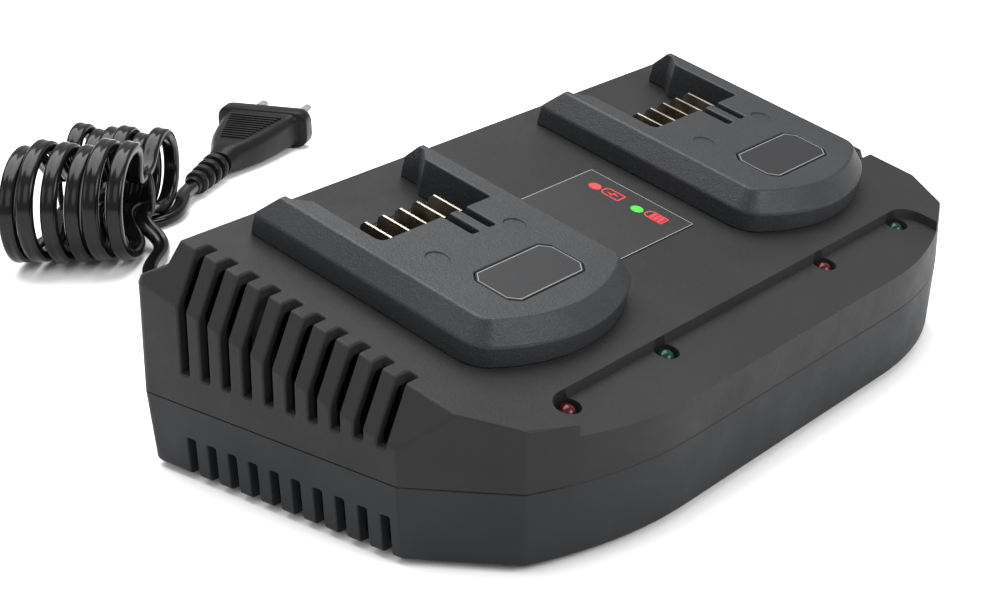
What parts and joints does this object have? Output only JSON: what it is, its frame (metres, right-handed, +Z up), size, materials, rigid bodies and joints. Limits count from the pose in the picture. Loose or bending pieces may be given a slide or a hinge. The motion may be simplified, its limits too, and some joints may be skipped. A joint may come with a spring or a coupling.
{
  "type": "power tool battery charger",
  "caption": "Twin power tool battery charger: wedge-shaped vented housing with two slide-in docks, indicator lamps, mains cord tied in a hank and a flat two-pin plug.",
  "frame": {"origin": "on the surface the feet stand on, below the middle of the housing's footprint", "axes": "+X along the housing's length to the right seen from its front, +Y from the front with the lamps towards the back with the cord, +Z up"},
  "size_m": [0.231, 0.301, 0.0688],
  "materials": {
    "shell": "fine matte texture, charcoal grey",
    "dock": "coarse matte texture, bluish black",
    "blade": "nickel-bright edges with dark bronze faces",
    "block": "matte black",
    "badge": "satin dark grey with a thin pale edge line",
    "label": "satin printed film",
    "lamp_red": "deep red lens",
    "lamp_green": "deep green lens",
    "board": "green lacquer",
    "core": "dark ferrite",
    "winding": "yellow insulating tape",
    "capacitor": "dark sleeve",
    "sink": "satin",
    "fuse": "clear glass tube",
    "choke": "enamelled copper wire on a ring",
    "terminal": "green plastic",
    "wire": "red insulation",
    "screw": "zinc plated",
    "foot": "matte black rubber",
    "cord": "satin black sheath",
    "gland": "matte black",
    "tie": "black",
    "plug": "satin black with fine grip ribs",
    "pin": "nickel plated",
    "sleeve": "black"
  },
  "bodies": {
    "root": {"bottom_shell": "shell", "top_shell": "shell", "left_dock": "dock", "right_dock": "dock", "left_contact_blades": "blade", "right_contact_blades": "blade", "left_terminal_block": "block", "right_terminal_block": "block", "left_dock_badge": "badge", "right_dock_badge": "badge", "status_label": "label", "left_red_lamp": "lamp_red", "right_red_lamp": "lamp_red", "left_green_lamp": "lamp_green", "right_green_lamp": "lamp_green", "lamp_board": "board", "main_board": "board", "transformer_core": "core", "transformer_winding": "winding", "mains_capacitors": "capacitor", "heat_sinks": "sink", "fuse": "fuse", "inlet_choke": "choke", "inlet_terminal": "terminal", "battery_leads": "wire", "housing_screws": "screw", "dock_screws": "screw", "rubber_feet": "foot", "cord_gland": "gland", "inner_cord": "cord", "cord_lead": "cord", "cord_hank": "cord", "cord_tail": "cord", "cord_tie": "tie", "plug_body": "plug", "plug_pins": "pin", "plug_sleeves": "sleeve"}
  },
  "joints": []
}
